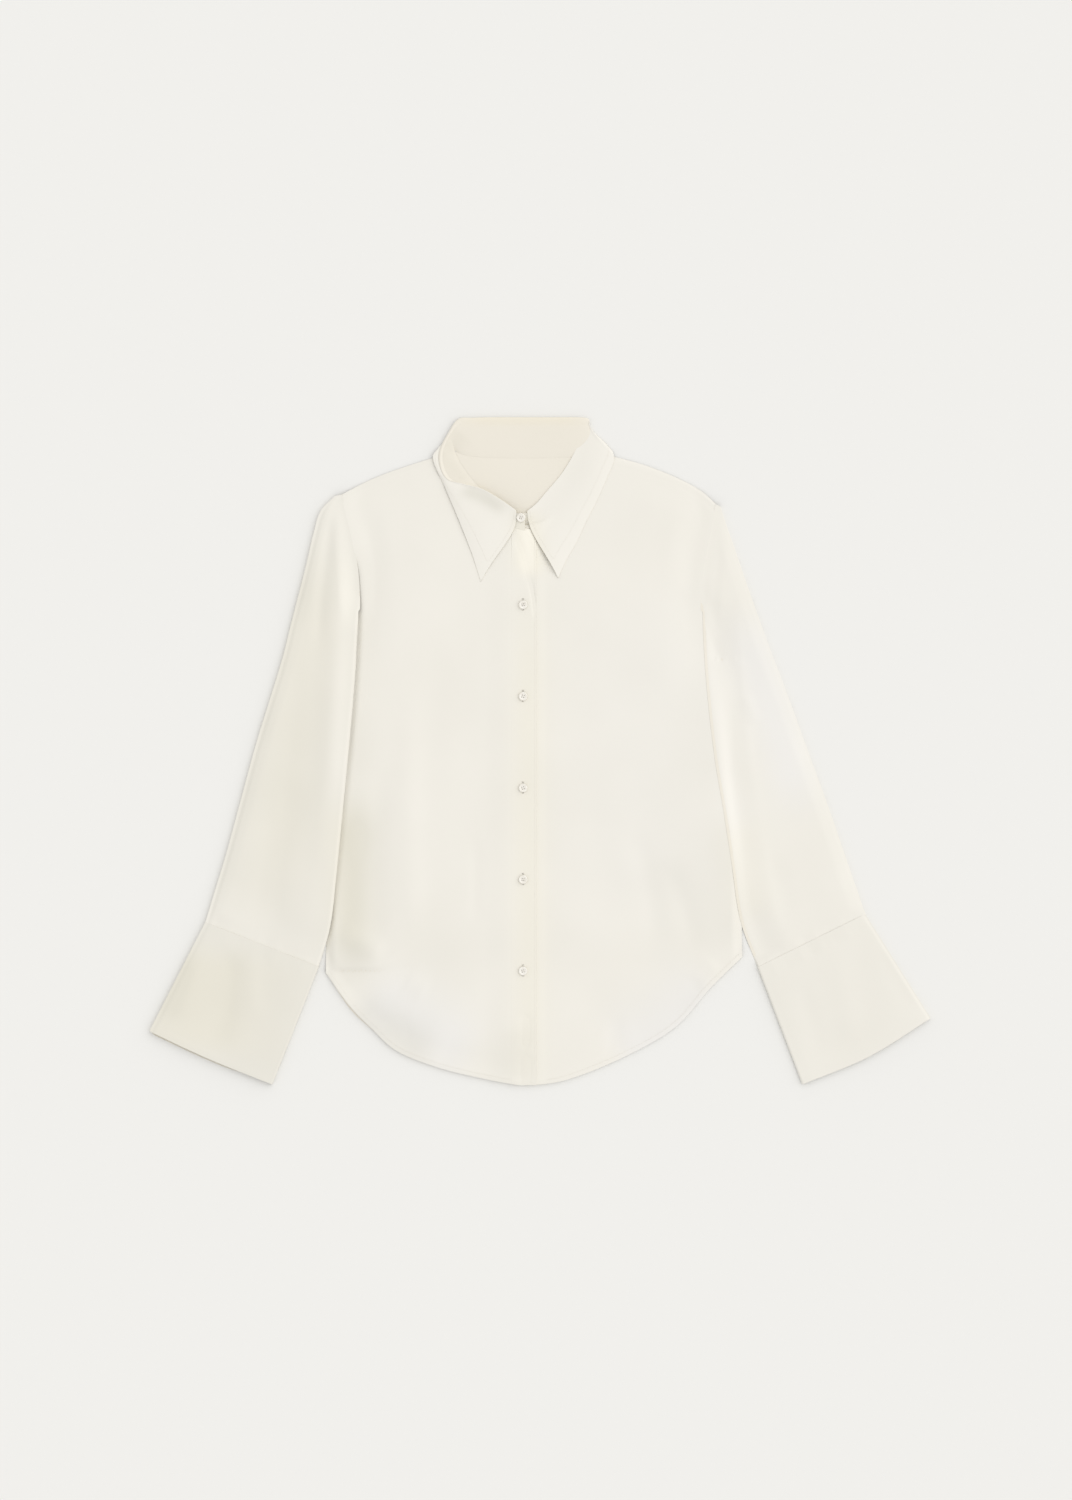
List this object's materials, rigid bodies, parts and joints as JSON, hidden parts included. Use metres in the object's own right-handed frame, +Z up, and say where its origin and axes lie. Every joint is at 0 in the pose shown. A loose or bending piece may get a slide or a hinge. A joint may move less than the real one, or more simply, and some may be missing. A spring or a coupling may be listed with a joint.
{
  "type": "silk blouse",
  "caption": "Cream silk blouse laid out flat: long sleeves with deep flared cuffs, pointed collar on a stand, button front and rounded shirt-tail hem.",
  "frame": {"origin": "on the surface that the blouse lies on, under the middle of its overall box", "axes": "+X to the wearer's left, +Y from hem to collar, +Z up off the surface, out of the front"},
  "size_m": [0.874, 0.7478, 0.0247],
  "materials": {
    "silk": "cream silk crepe with a soft low sheen",
    "button": "pearly shirt button"
  },
  "bodies": {
    "root": {"back": "silk", "front_right": "silk", "front_left": "silk", "front_band": "silk", "collar_stand": "silk", "collar_leaf": "silk", "sleeve_right": "silk", "sleeve_left": "silk", "cuff_right": "silk", "cuff_left": "silk", "button_neck": "button", "button_1": "button", "button_2": "button", "button_3": "button", "button_4": "button", "button_5": "button"}
  },
  "joints": []
}
